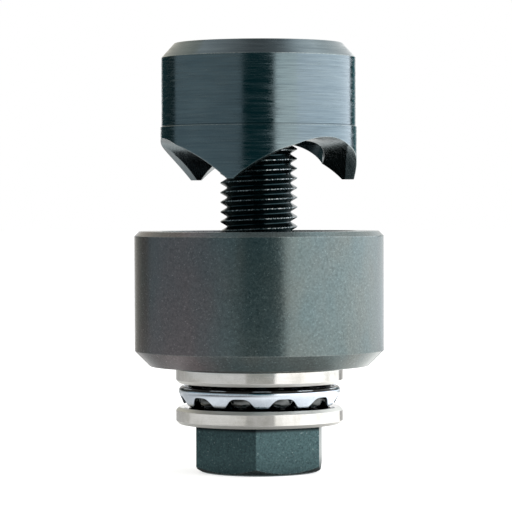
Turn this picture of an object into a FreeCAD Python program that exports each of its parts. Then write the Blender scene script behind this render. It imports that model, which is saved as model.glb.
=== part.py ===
import FreeCAD, Part
import os
import Sketcher

# Sheet metal hole punch. A three-toothed punch is pulled down into a die by a bolt that turns on a thrust ball bearing.
# The origin is the middle of the bolt head's outer face, with +Z up the bolt. Lengths are in millimetres.
# Every piece is drawn in a frame of its own and then placed on the stack of head, bearing, die, sheet gap and punch.

doc = FreeCAD.newDocument("sheet_metal_hole_punch")

# Driving dimensions
DIMENSIONS = {
    # Draw bolt
    "head_across_flats": 19.0,
    "head_height": 7.5,
    "head_chamfer_angle": 30.0,
    "head_face_inset": 0.5,
    "head_turn": 26.5,
    "thread_diameter": 12.0,
    "bolt_length": 55.0,
    "bolt_end_chamfer": 1.1,
    # Thrust ball bearing: two washers with a raceway each, and the balls between them
    "washer_diameter": 26.0,
    "washer_thickness": 2.65,
    "washer_chamfer": 0.5,
    "shaft_washer_play": 0.05,
    "housing_washer_play": 0.5,
    "raceway_depth": 0.59,
    "raceway_play": 0.22,
    "ball_diameter": 4.76,
    "ball_play": 0.06,
    "ball_circle_offset": 3.4,
    "ball_count": 11,
    "ball_turn": -72.0,
    # Ball cage: its walls are placed from the balls, and its top and foot from the washers
    "cage_sheet": 0.45,
    "cage_top_play": 0.45,
    "cage_foot_play": 0.6,
    "cage_shoulder_reach": 1.16,
    "cage_foot_reach": 0.02,
    "cage_inner_rim": 0.6,
    "cage_bend": 0.7,
    "pocket_play": 0.14,
    "arch_radius": 2.35,
    "arch_drop": 2.4,
    # Die
    "die_diameter": 38.8,
    "die_height": 20.9,
    "die_face_chamfer": 0.75,
    "die_foot_chamfer": 2.35,
    "cavity_depth": 14.5,
    "cutting_play": 0.1,
    "die_hole_play": 0.1,
    # Punch: heights are counted from the teeth's tips
    "sheet_gap": 8.0,
    "punch_diameter": 30.5,
    "punch_relief": 0.15,
    "punch_height": 21.15,
    "punch_chamfer": 2.05,
    "punch_chamfer_height": 2.25,
    "land_height": 8.2,
    "recess_diameter": 20.3,
    "recess_depth": 9.0,
    "thread_play": 0.05,
    "thread_countersink": 0.8,
    "tooth_count": 3,
    "tooth_turn": -46.6,
    "scallop_height": 6.3,
    "scallop_radius": 15.1,
    "scallop_tilt": 5.5,
    "flank_radius": 24.4,
    "flank_offset": 16.86,
    "flank_start": 10.0,
}

sheet = doc.addObject("Spreadsheet::Sheet", "sizes")
for row, (alias, value) in enumerate(DIMENSIONS.items(), start=1):
    sheet.set(f"A{row}", alias)
    sheet.set(f"B{row}", str(value))
    sheet.setAlias(f"B{row}", alias)
doc.recompute()

# Sizes that follow from the driving ones
BOLT_RADIUS = "sizes.thread_diameter / 2"
BALL_RADIUS = "sizes.ball_diameter / 2"
BALL_CIRCLE_RADIUS = f"({BOLT_RADIUS} + sizes.ball_circle_offset)"
RACEWAY_RADIUS = f"({BALL_RADIUS} + sizes.raceway_play)"
HALF_WASHER_GAP = f"({BALL_RADIUS} + sizes.ball_play - sizes.raceway_depth)"

# Heights of the stack, from the head's outer face
BEARING_BASE = "sizes.head_height"
BALL_CENTRES = f"{BEARING_BASE} + sizes.washer_thickness + {HALF_WASHER_GAP}"
DIE_BASE = f"{BALL_CENTRES} + {HALF_WASHER_GAP} + sizes.washer_thickness"
TOOTH_TIPS = f"{DIE_BASE} + sizes.die_height + sizes.sheet_gap"

PIECES = []


def number(expression):
    """The present value of an expression over the sheet."""
    value = sheet.evalExpression(expression)
    return float(getattr(value, "Value", value))


def new_body(label):
    """A sub-part with its own features."""
    body = doc.addObject("PartDesign::Body", label)
    body.Label = label
    PIECES.append(body)
    return body


def plane(body, role):
    """One of the body's own origin planes or axes."""
    return next(feature for feature in body.Origin.OriginFeatures if feature.Role == role)


def place(piece, height, turn="0"):
    """Stand a piece on the stack at a height, turned about the bolt's axis."""
    piece.Placement = FreeCAD.Placement(FreeCAD.Vector(), FreeCAD.Rotation(FreeCAD.Vector(0, 0, 1), number(turn)))
    piece.setExpression("Placement.Base.z", height)
    piece.setExpression("Placement.Rotation.Angle", turn)


def new_sketch(body, name, role):
    """An empty sketch on one of the body's origin planes."""
    sketch = body.newObject("Sketcher::SketchObject", name)
    sketch.AttachmentSupport = (plane(body, role), [""])
    sketch.MapMode = "FlatFace"
    return sketch


def bind(sketch, kind, where, name, expression):
    """A named dimension of the sketch that follows an expression."""
    index = sketch.addConstraint(Sketcher.Constraint(kind, *where, number(expression)))
    sketch.renameConstraint(index, name)
    sketch.setExpression(f"Constraints.{name}", expression)


def outline(body, name, corners):
    """A closed half section in the XZ plane: each corner is a radius and a height."""
    sketch = new_sketch(body, name, "XZ_Plane")
    points = [FreeCAD.Vector(number(radius), number(height), 0) for radius, height in corners]
    for start, end in zip(points, points[1:] + points[:1]):
        sketch.addGeometry(Part.LineSegment(start, end), False)
    for index, (radius, height) in enumerate(corners):
        sketch.addConstraint(Sketcher.Constraint("Coincident", index, 1, (index - 1) % len(corners), 2))
        bind(sketch, "DistanceX", (-1, 1, index, 1), f"radius_{index}", radius)
        bind(sketch, "DistanceY", (-1, 1, index, 1), f"height_{index}", height)
    return sketch


def circle(sketch, right, up, radius):
    """A full circle whose centre lies to the right of the sketch's origin, and above it or, if up is negative, below it."""
    centre = FreeCAD.Vector(number(right), number(up), 0)
    sketch.addGeometry(Part.Circle(centre, FreeCAD.Vector(0, 0, 1), number(radius)), False)
    bind(sketch, "DistanceX", (-1, 1, 0, 3), "right", right)
    bind(sketch, "DistanceY", (-1, 1, 0, 3), "up", up)
    bind(sketch, "Radius", (0,), "radius", radius)
    return sketch


def turned(body, name, corners):
    """Material turned about the Z axis from a half section."""
    sketch = outline(body, f"{name}_section", corners)
    feature = body.newObject("PartDesign::Revolution", name)
    feature.Profile = sketch
    feature.ReferenceAxis = (sketch, ["V_Axis"])
    feature.Angle = 360.0
    return feature


def turned_groove(body, name, sketch):
    """A groove turned about the Z axis from a sketch in the XZ plane."""
    feature = body.newObject("PartDesign::Groove", name)
    feature.Profile = sketch
    feature.ReferenceAxis = (sketch, ["V_Axis"])
    feature.Angle = 360.0
    return feature


def outward_cut(body, name, sketch):
    """A cut that starts at its sketch and runs along the sketch's normal through all."""
    feature = body.newObject("PartDesign::Pocket", name)
    feature.Profile = sketch
    feature.Type = "ThroughAll"
    feature.Reversed = True
    return feature


def ring_pattern(body, name, originals, count):
    """Features repeated evenly about the Z axis."""
    feature = body.newObject("PartDesign::PolarPattern", name)
    feature.Originals = originals
    feature.Axis = (plane(body, "Z_Axis"), [""])
    feature.Angle = 360.0
    feature.setExpression("Occurrences", count)
    body.Tip = feature
    return feature


def circular_edges(shape, radius, height):
    """Names of the full circular edges of one radius at one height."""
    names = []
    for index, edge in enumerate(shape.Edges, start=1):
        curve = edge.Curve
        if not isinstance(curve, Part.Circle):
            continue
        if abs(curve.Radius - radius) < 1e-4 and abs(curve.Center.z - height) < 1e-4:
            names.append(f"Edge{index}")
    return names


# Draw bolt: hexagon head with its outer corners chamfered, then the shank at the thread's outer diameter
def make_draw_bolt():
    body = new_body("draw_bolt")
    head = body.newObject("PartDesign::AdditivePrism", "head")
    head.AttachmentSupport = (plane(body, "XY_Plane"), [""])
    head.MapMode = "FlatFace"
    head.Polygon = 6
    head.setExpression("Circumradius", "sizes.head_across_flats / 2 / cos(30)")
    head.setExpression("Height", "sizes.head_height")
    doc.recompute()
    face = "(sizes.head_across_flats / 2 - sizes.head_face_inset)"
    beyond = "sizes.head_across_flats"
    rise = f"({beyond} - {face}) * tan(sizes.head_chamfer_angle)"
    corner = outline(body, "corner_section", [(face, "0"), (beyond, "0"), (beyond, rise)])
    turned_groove(body, "head_corners", corner)
    doc.recompute()
    top = "sizes.head_height + sizes.bolt_length"
    turned(body, "shank", [
        ("0", "sizes.head_height / 2"),
        (BOLT_RADIUS, "sizes.head_height / 2"),
        (BOLT_RADIUS, f"{top} - sizes.bolt_end_chamfer"),
        (f"{BOLT_RADIUS} - sizes.bolt_end_chamfer", top),
        ("0", top),
    ])
    place(body, "0", "sizes.head_turn")


# Bearing washer: a flat ring with chamfered rims and a raceway in the face that looks at the balls
def make_washer(label, bore_radius, base, raceway_centre):
    body = new_body(label)
    rim = "sizes.washer_diameter / 2"
    thickness = "sizes.washer_thickness"
    chamfer = "sizes.washer_chamfer"
    turned(body, "ring", [
        (bore_radius, "0"),
        (f"{rim} - {chamfer}", "0"),
        (rim, chamfer),
        (rim, f"{thickness} - {chamfer}"),
        (f"{rim} - {chamfer}", thickness),
        (bore_radius, thickness),
    ])
    doc.recompute()
    section = new_sketch(body, "raceway_section", "XZ_Plane")
    circle(section, BALL_CIRCLE_RADIUS, raceway_centre, RACEWAY_RADIUS)
    turned_groove(body, "raceway", section)
    place(body, base)


def make_washers():
    above_floor = f"{RACEWAY_RADIUS} - sizes.raceway_depth"
    make_washer(
        "shaft_washer",
        f"{BOLT_RADIUS} + sizes.shaft_washer_play",
        BEARING_BASE,
        f"sizes.washer_thickness + {above_floor}",
    )
    make_washer(
        "housing_washer",
        f"{BOLT_RADIUS} + sizes.housing_washer_play",
        f"{DIE_BASE} - sizes.washer_thickness",
        f"-({above_floor})",
    )


# Ball cage: a pressed ring with a rounded shoulder and a wall that closes in below it, so that it holds its balls. It has a
# round pocket for each ball in its top, and an arch under each pocket in its wall.
def make_ball_cage():
    body = new_body("ball_cage")
    wall = "sizes.cage_sheet"
    top = f"({HALF_WASHER_GAP} - sizes.cage_top_play)"
    foot_height = f"-({HALF_WASHER_GAP} - sizes.cage_foot_play)"
    shoulder = f"{BALL_CIRCLE_RADIUS} + {BALL_RADIUS} + sizes.cage_shoulder_reach"
    foot = f"{BALL_CIRCLE_RADIUS} + {BALL_RADIUS} + sizes.cage_foot_reach"

    # A pocket clears its ball where the ball stands up through the top, and is too small to let it out
    pocket_radius = f"(sqrt(({BALL_RADIUS}) ^ 2 - ({top} - {wall}) ^ 2) + sizes.pocket_play)"
    inner_rim = f"{BALL_CIRCLE_RADIUS} - {pocket_radius} - sizes.cage_inner_rim"

    pressing = turned(body, "pressing", [
        (shoulder, top),
        (foot, foot_height),
        (f"{foot} - {wall}", foot_height),
        (f"{shoulder} - {wall}", f"{top} - {wall}"),
        (inner_rim, f"{top} - {wall}"),
        (inner_rim, top),
    ])
    doc.recompute()
    bend = body.newObject("PartDesign::Fillet", "bend")
    bend.Base = (pressing, circular_edges(pressing.Shape, number(shoulder), number(top)))
    bend.setExpression("Radius", "sizes.cage_bend")
    doc.recompute()
    pocket_outline = new_sketch(body, "pocket_outline", "XY_Plane")
    circle(pocket_outline, BALL_CIRCLE_RADIUS, "0", pocket_radius)
    pocket = outward_cut(body, "pocket", pocket_outline)
    doc.recompute()

    # An arch leaves the lower half of each ball in view
    arch_outline = new_sketch(body, "arch_outline", "YZ_Plane")
    circle(arch_outline, "0", "-sizes.arch_drop", "sizes.arch_radius")
    arch = outward_cut(body, "arch", arch_outline)
    doc.recompute()
    ring_pattern(body, "pockets_and_arches", [pocket, arch], "sizes.ball_count")
    place(body, BALL_CENTRES, "sizes.ball_turn")


# Bearing balls: one sphere in each pocket
def make_balls():
    for index in range(int(number("sizes.ball_count"))):
        ball = doc.addObject("Part::Sphere", f"ball_{index + 1:02d}")
        ball.Label = ball.Name
        ball.setExpression("Radius", BALL_RADIUS)
        azimuth = f"sizes.ball_turn + {index} * 360 / sizes.ball_count"
        ball.setExpression("Placement.Base.x", f"{BALL_CIRCLE_RADIUS} * cos({azimuth})")
        ball.setExpression("Placement.Base.y", f"{BALL_CIRCLE_RADIUS} * sin({azimuth})")
        ball.setExpression("Placement.Base.z", BALL_CENTRES)
        PIECES.append(ball)


# Die: a turned cylinder with a cavity for the punch and the slug, and a close hole that keeps the bolt in line
def make_die():
    body = new_body("die")
    rim = "sizes.die_diameter / 2"
    cavity = "sizes.punch_diameter / 2 + sizes.cutting_play"
    hole = f"{BOLT_RADIUS} + sizes.die_hole_play"
    top = "sizes.die_height"
    floor = "sizes.die_height - sizes.cavity_depth"
    turned(body, "blank", [
        (hole, "0"),
        (f"{rim} - sizes.die_foot_chamfer", "0"),
        (rim, "sizes.die_foot_chamfer"),
        (rim, f"{top} - sizes.die_face_chamfer"),
        (f"{rim} - sizes.die_face_chamfer", top),
        (cavity, top),
        (cavity, floor),
        (hole, floor),
    ])
    place(body, DIE_BASE)


# Punch: turned blank with a cutting land and a hollow mouth, then three scallops and ground flanks that leave three teeth
def make_punch():
    body = new_body("punch")
    land = "sizes.punch_diameter / 2"
    waist = "sizes.punch_diameter / 2 - sizes.punch_relief"
    bore = f"{BOLT_RADIUS} + sizes.thread_play"
    mouth = "sizes.recess_diameter / 2"
    top = "sizes.punch_height"
    turned(body, "blank", [
        (bore, "sizes.recess_depth"),
        (mouth, "sizes.recess_depth"),
        (mouth, "0"),
        (land, "0"),
        (land, "sizes.land_height"),
        (waist, "sizes.land_height"),
        (waist, f"{top} - sizes.punch_chamfer_height"),
        (f"{waist} - sizes.punch_chamfer", top),
        (f"{bore} + sizes.thread_countersink", top),
        (bore, f"{top} - sizes.thread_countersink"),
    ])
    doc.recompute()

    # The scallop is a round cutter's path along a radius, rising outward by the tilt to its full height at the land
    scallop_outline = new_sketch(body, "scallop_outline", "YZ_Plane")
    scallop_outline.AttachmentOffset = FreeCAD.Placement(
        FreeCAD.Vector(), FreeCAD.Rotation(FreeCAD.Vector(-1, 0, 0), number("sizes.scallop_tilt"))
    )
    scallop_outline.setExpression("AttachmentOffset.Rotation.Angle", "sizes.scallop_tilt")
    crown = f"(sizes.scallop_height - {land} * tan(sizes.scallop_tilt)) * cos(sizes.scallop_tilt)"
    circle(scallop_outline, "0", f"{crown} - sizes.scallop_radius", "sizes.scallop_radius")
    scallop = outward_cut(body, "scallop", scallop_outline)
    doc.recompute()

    # Each tooth lies halfway between two scallops, and a wide wheel grinds both its flanks at the rim, along its radius
    tooth = "180 / sizes.tooth_count"
    flanks = []
    for name, side in (("flank_right", "-"), ("flank_left", "")):
        wheel = new_sketch(body, f"{name}_wheel", "YZ_Plane")
        wheel.AttachmentOffset = FreeCAD.Placement(
            FreeCAD.Vector(), FreeCAD.Rotation(FreeCAD.Vector(0, 1, 0), number(tooth))
        )
        wheel.setExpression("AttachmentOffset.Rotation.Angle", tooth)
        wheel.setExpression("AttachmentOffset.Base.x", f"sizes.flank_start * sin({tooth})")
        wheel.setExpression("AttachmentOffset.Base.z", f"sizes.flank_start * cos({tooth})")
        circle(wheel, f"{side}sizes.flank_offset", "sizes.scallop_height - sizes.flank_radius", "sizes.flank_radius")
        flanks.append(outward_cut(body, name, wheel))
        doc.recompute()
    ring_pattern(body, "teeth", [scallop] + flanks, "sizes.tooth_count")
    place(body, TOOTH_TIPS, "sizes.tooth_turn")


def check_and_write():
    """Stop on any failed object or shape, then write one file for each piece."""
    doc.recompute()
    for item in doc.Objects:
        if "Invalid" in item.State or "Error" in item.State:
            raise RuntimeError(f"{item.Name} did not compute: {item.State}")
    for piece in PIECES:
        shape = piece.Shape
        if shape.isNull() or not shape.isValid() or len(shape.Solids) != 1:
            raise RuntimeError(f"{piece.Label} is not one valid solid")
    os.makedirs("parts", exist_ok=True)
    for piece in PIECES:
        piece.Shape.exportStep(f"parts/{piece.Label}.step")


make_draw_bolt()
make_washers()
make_ball_cage()
make_balls()
make_die()
make_punch()
check_and_write()
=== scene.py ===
import math

import bpy
import numpy as np
from mathutils import Matrix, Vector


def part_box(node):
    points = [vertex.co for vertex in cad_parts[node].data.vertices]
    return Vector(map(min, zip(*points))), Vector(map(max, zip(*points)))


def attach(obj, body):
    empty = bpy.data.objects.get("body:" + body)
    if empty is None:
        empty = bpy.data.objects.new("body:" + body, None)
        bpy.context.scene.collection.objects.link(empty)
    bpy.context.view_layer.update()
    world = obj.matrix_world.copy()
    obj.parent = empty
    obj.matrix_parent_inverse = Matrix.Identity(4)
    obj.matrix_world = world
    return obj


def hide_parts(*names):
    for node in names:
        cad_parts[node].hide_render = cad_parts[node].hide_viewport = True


# Sheet metal hole punch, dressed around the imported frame. Lengths are in metres, heights run up the
# bolt from the outer face of its head, and azimuths run from +X towards +Y.
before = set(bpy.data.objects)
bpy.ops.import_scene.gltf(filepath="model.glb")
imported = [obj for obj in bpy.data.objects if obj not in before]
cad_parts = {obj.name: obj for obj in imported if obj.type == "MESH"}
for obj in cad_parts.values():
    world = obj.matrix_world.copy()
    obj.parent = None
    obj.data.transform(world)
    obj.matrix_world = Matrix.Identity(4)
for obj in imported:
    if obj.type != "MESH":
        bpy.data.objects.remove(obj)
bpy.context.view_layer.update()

MM = 0.001
TURN = 2 * math.pi


def heights_of(node):
    """Lowest and highest point of a CAD node."""
    low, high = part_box(node)
    return low.z, high.z


def radii_of(node):
    """Smallest and largest distance of a CAD node's corners from the bolt's axis."""
    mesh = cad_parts[node].data
    corners = np.empty(len(mesh.vertices) * 3, np.float32)
    mesh.vertices.foreach_get("co", corners)
    distance = np.hypot(corners[0::3], corners[1::3])
    return float(distance.min()), float(distance.max())


# Sizes taken from the frame
TOOTH_TIPS, PUNCH_TOP = heights_of("punch")
PUNCH_BORE, LAND_RADIUS = radii_of("punch")
DIE_BASE, DIE_TOP = heights_of("die")
DIE_HOLE, DIE_RADIUS = radii_of("die")
BOLT_END = heights_of("draw_bolt")[1]
SHAFT_WASHER_BASE, SHAFT_WASHER_TOP = heights_of("shaft_washer")
HOUSING_WASHER_BASE, HOUSING_WASHER_TOP = heights_of("housing_washer")
SHAFT_WASHER_BORE, WASHER_RADIUS = radii_of("shaft_washer")
HOUSING_WASHER_BORE = radii_of("housing_washer")[0]
CAGE_FOOT, CAGE_TOP = heights_of("ball_cage")
CAGE_INNER_RIM = radii_of("ball_cage")[0]
BALL_CORNERS = np.array(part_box("ball_01"))
BALL_CENTRE = BALL_CORNERS.mean(axis=0)
BALL_PLANE = float(BALL_CENTRE[2])

# Punch: heights are counted from the teeth's tips
PUNCH_WAIST = LAND_RADIUS - 0.15 * MM
PUNCH_CHAMFER = 2.05 * MM
PUNCH_CHAMFER_HEIGHT = 2.25 * MM
LAND_HEIGHT = 8.2 * MM
RECESS_RADIUS = 10.15 * MM
RECESS_DEPTH = 9.0 * MM
COUNTERSINK = 0.8 * MM
TOOTH_COUNT = 3
VALLEY_AZIMUTH = math.radians(-46.6)
SCALLOP_HEIGHT = 6.3 * MM
SCALLOP_RADIUS = 15.1 * MM
SCALLOP_TILT = math.radians(5.5)
FLANK_RADIUS = 24.4 * MM
FLANK_OFFSET = 16.86 * MM
CUTTING_EDGE = 0.07 * MM
LAND_EDGE = 0.06 * MM
LAND_MARGIN = 0.1 * MM
STEP_GROOVE = 0.06 * MM
PUNCH_EDGE = 0.12 * MM
BORE_EDGE = 0.05 * MM
RECESS_CORNER = 0.4 * MM

# Die
DIE_FACE_CHAMFER = 0.75 * MM
DIE_FOOT_CHAMFER = 2.35 * MM
CAVITY_RADIUS = 15.35 * MM
CAVITY_DEPTH = 14.5 * MM
CAVITY_LIP = 0.05 * MM
CAVITY_CORNER = 0.4 * MM
DIE_EDGE = 0.15 * MM
DIE_FOOT_EDGE = 0.12 * MM

# Bolt
BOLT_RADIUS = 6.0 * MM
HEAD_HEIGHT = SHAFT_WASHER_BASE
HEAD_APOTHEM = 9.5 * MM
HEAD_FACE_RADIUS = 9.0 * MM
HEAD_CHAMFER = math.radians(30)
HEAD_TURN = math.radians(26.5)
HEAD_CORNER = 0.3 * MM
HEAD_RIM = 0.05 * MM
HEAD_TOP_CHAMFER = 0.25 * MM
SHANK_ROOT = 0.5 * MM
PITCH = 1.5 * MM
THREAD_TURN = math.radians(150)
THREAD_START = 20.0 * MM
THREAD_RUN_OUT = 2.0 * MM
BOLT_END_CHAMFER = 1.1 * MM
CREST_SHARE = 0.1

# Thread form over one pitch: a narrow crest with softened edges, straight flanks and a narrow root
THREAD_DEPTH = 0.98 * MM
THREAD_STATIONS = np.array([0.0, 0.045, 0.08, 0.11, 0.42, 0.46, 0.54, 0.58, 0.89, 0.92, 0.955])
THREAD_DEPTHS = np.array([0.0, 0.0, 0.05, 0.128, 0.93, 1.0, 1.0, 0.93, 0.128, 0.05, 0.0]) * THREAD_DEPTH

# Bearing
WASHER_CHAMFER = 0.5 * MM
WASHER_EDGE = 0.08 * MM
WASHER_BORE_EDGE = 0.3 * MM
BALL_RADIUS = 2.38 * MM
BALL_CIRCLE = 9.4 * MM
BALL_COUNT = 11
FIRST_BALL = math.radians(-72.0)
RACEWAY_RADIUS = 2.6 * MM
RACEWAY_DEPTH = 0.59 * MM
CAGE_SHEET = 0.45 * MM
CAGE_BEND = 0.7 * MM
CAGE_BOW = 1.6 * MM
CAGE_CORNER = BALL_CIRCLE + BALL_RADIUS + 1.16 * MM
CAGE_FOOT_RADIUS = BALL_CIRCLE + BALL_RADIUS + 0.02 * MM
POCKET_RADIUS = 2.32 * MM
ARCH_TOP = BALL_PLANE
ARCH_HALF_WIDTH = 2.55 * MM
ARCH_FULLNESS = 2.0
CAGE_HEM = CAGE_FOOT - 0.25 * MM
# Painted shade over the cage's bend: how far under the top it reaches, and the bare line left between
# the balls
PAINTED_SHADE_EDGE = 0.15 * MM
PAINTED_SHADE_GAP_ROWS = slice(5, 7)
PAINTED_SHADE_GAP_START = 0.55
PAINTED_SHADE_GAP_FADE = 0.15

# Fineness of the surfaces
ARC_STEPS = 6
HOLD = 0.03 * MM
SHARP = math.radians(22)
WELD = 1e-8
COLUMNS = 240


def unit(vector):
    """The vector divided by its length."""
    return vector / np.linalg.norm(vector)


def rounded_rows(corners):
    """Rows of (radius, height, wear) round a half section, with each corner rounded and worn.

    A corner is (radius, height, rounding). The rounding is an arc that touches both sides, its
    points spread evenly over the angle between the touching points. A row stands just before and
    after each arc, so that the shading stays level on the straight sides. The last corner is
    followed by the first one.
    """
    places = np.array([corner[:2] for corner in corners])
    rows = []
    for index, rounding in enumerate(corner[2] for corner in corners):
        here = places[index]
        if rounding == 0:
            rows.append([[*here, 0]])
            continue
        to_last = unit(places[index - 1] - here)
        to_next = unit(places[(index + 1) % len(places)] - here)
        half_angle = math.acos(float(np.clip(to_last @ to_next, -1, 1))) / 2
        touch = rounding / math.tan(half_angle)
        centre = here + unit(to_last + to_next) * rounding / math.sin(half_angle)
        start = here + to_last * touch - centre
        end = here + to_next * touch - centre
        sweep = math.pi - 2 * half_angle
        share = np.linspace(0, 1, ARC_STEPS + 1)[:, None]
        arc = (start * np.sin((1 - share) * sweep) + end * np.sin(share * sweep)) / math.sin(sweep)
        rows.append([[*(here + to_last * (touch + HOLD)), 0]])
        rows.append(np.column_stack([centre + arc, np.ones(ARC_STEPS + 1)]))
        rows.append([[*(here + to_next * (touch + HOLD)), 0]])
    return np.concatenate(rows)


def around(radius, azimuth, height, wear_and_painted_light=0):
    """Points from radius, azimuth and height: x and y are the radius times the azimuth's cosine and
    sine. Each point's fourth number is its wear, which on the cage's bend is painted shade and on
    the washers' chamfers also a painted highlight."""
    radius, azimuth, height, wear_and_painted_light = np.broadcast_arrays(radius, azimuth, height, wear_and_painted_light)
    return np.stack([radius * np.cos(azimuth), radius * np.sin(azimuth), height, wear_and_painted_light], axis=-1)


def turned(rows, azimuths):
    """Points of a half section carried round the axis. A row is a radius, a height and, if it has
    one, a wear."""
    wear_and_painted_light = rows[:, 2, None] if rows.shape[1] > 2 else 0
    return around(rows[:, 0, None], azimuths, rows[:, 1, None], wear_and_painted_light)


def grid_quads(rows, columns):
    """Corner numbers of the quads of an open grid."""
    row, column = np.meshgrid(np.arange(rows - 1), np.arange(columns - 1), indexing="ij")
    corner = row * columns + column
    quads = np.stack([corner, corner + 1, corner + columns + 1, corner + columns], axis=-1)
    return quads.reshape(-1, 4)


def skin(points, closed):
    """Vertices and faces of a grid of points, whose rows follow the section and whose columns go
    once round the axis.

    The last column lies on the first one. Points that coincide are merged, and a quad that loses a
    corner by that becomes a triangle. The faces look outwards where the section runs anticlockwise,
    as seen with the radius to the right. A closed grid's last row is joined to its first.
    """
    rows, columns = points.shape[:2]
    if closed:
        points = np.concatenate([points, points[:1]])
        rows += 1
    return weld(points.reshape(-1, 4), grid_quads(rows, columns))


def weld(points, quads):
    """Merges points that coincide, and drops the sides and faces that vanish by that."""
    keys = np.round(points[:, :3] / WELD).astype(np.int64)
    _, first, merged = np.unique(keys, axis=0, return_index=True, return_inverse=True)
    quads = merged.ravel()[quads]
    repeated = quads == np.roll(quads, -1, axis=1)
    whole = quads[~repeated.any(axis=1)]
    pinched = quads[repeated.sum(axis=1) == 1]
    kept = ~repeated[repeated.sum(axis=1) == 1]
    triangles = pinched[kept].reshape(-1, 3)
    return points[first], whole.tolist() + triangles.tolist()


def add_piece(name, vertices, faces, material, body, slot, nodes=()):
    """A smooth-shaded piece with sharp creases, on its body and in the place of its CAD nodes."""
    mesh = bpy.data.meshes.new(name)
    mesh.from_pydata(vertices[:, :3], [], faces)
    # The wear value also carries painted shade on the cage's bend and a painted highlight on the
    # washers' chamfers
    wear_and_painted_light = mesh.attributes.new("wear_and_painted_light", "FLOAT", "POINT")
    wear_and_painted_light.data.foreach_set("value", vertices[:, 3].astype(np.float32))
    mesh.materials.append(material)
    mesh.shade_smooth()
    mesh.set_sharp_from_angle(angle=SHARP)
    piece = bpy.data.objects.new(name, mesh)
    bpy.context.scene.collection.objects.link(piece)
    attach(piece, body)
    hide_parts(*nodes)
    return piece


def thread_grid(azimuths, low, high):
    """Heights of a right-hand thread's rows, and the groove's depth at each point.

    A row's height is its place along the axis plus one pitch for each turn of azimuth, held between
    the two ends. The thread starts at its own turn. The depth is read from the thread form at the
    share of a pitch that lies between the point and the last crest.
    """
    turns = (azimuths + THREAD_TURN) / TURN
    first = math.floor(low / PITCH - turns.max())
    last = math.ceil(high / PITCH - turns.min())
    places = (np.arange(first, last)[:, None] + THREAD_STATIONS).ravel()
    heights = np.clip((places[:, None] + turns) * PITCH, low, high)
    share = np.round(heights / PITCH - turns, 9) % 1
    depths = np.interp(share, np.append(THREAD_STATIONS, 1), np.append(THREAD_DEPTHS, 0))
    return heights, depths


# Punch
FLAT_SHARE = 0.06
LAND_STATIONS = np.array([0.0, 0.04, 0.25, 0.5, 0.75, 0.96, 1.0])


def scallop_surface(radius, from_tooth):
    """Height over the tips of the scallop: a cylinder whose axis points outwards along the valley
    and rises by the tilt."""
    from_valley = math.pi / TOOTH_COUNT - abs(from_tooth)
    along = radius * np.cos(from_valley)
    across = radius * np.sin(from_valley)
    slope = math.tan(SCALLOP_TILT)
    crown = (SCALLOP_HEIGHT - LAND_RADIUS * slope) * math.cos(SCALLOP_TILT)
    arch = crown - SCALLOP_RADIUS + np.sqrt(SCALLOP_RADIUS**2 - across**2)
    return along * slope + arch / math.cos(SCALLOP_TILT)


def flank_surface(radius, from_tooth):
    """Height over the tips of the ground flank: a level cylinder, which stands off to the side of
    the tooth."""
    across = radius * np.sin(abs(from_tooth)) - FLANK_OFFSET
    return SCALLOP_HEIGHT - FLANK_RADIUS + np.sqrt(FLANK_RADIUS**2 - across**2)


def tooth_surface(radius, from_tooth):
    """Height over the tips of the highest cut at each point, or the flat tip."""
    scallop = scallop_surface(radius, from_tooth)
    flank = flank_surface(radius, from_tooth)
    return np.maximum(np.maximum(scallop, flank), 0)


def tooth_azimuth(radius, share):
    """Azimuth from the tooth's middle to the valley's, for shares from -1 to 1. A small share
    covers the flat tip."""
    flat = FLANK_OFFSET - math.sqrt(FLANK_RADIUS**2 - (FLANK_RADIUS - SCALLOP_HEIGHT) ** 2)
    flat_edge = np.arcsin(flat / radius)
    within = np.minimum(abs(share) / FLAT_SHARE, 1)
    beyond = np.maximum(abs(share) - FLAT_SHARE, 0) / (1 - FLAT_SHARE)
    return np.sign(share) * (within * flat_edge + beyond * (math.pi / TOOTH_COUNT - flat_edge))


def grinding_line(share):
    """Radius where the scallop meets the flank or the flat tip, found by halving the land's width
    again and again."""
    inner = np.full_like(share, RECESS_RADIUS)
    outer = np.full_like(share, LAND_RADIUS)
    for _ in range(40):
        middle = (inner + outer) / 2
        azimuth = tooth_azimuth(middle, share)
        scalloped = scallop_surface(middle, azimuth) > np.maximum(flank_surface(middle, azimuth), 0)
        inner = np.where(scalloped, middle, inner)
        outer = np.where(scalloped, outer, middle)
    return np.clip(inner, RECESS_RADIUS + CUTTING_EDGE, LAND_RADIUS - CUTTING_EDGE)


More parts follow.
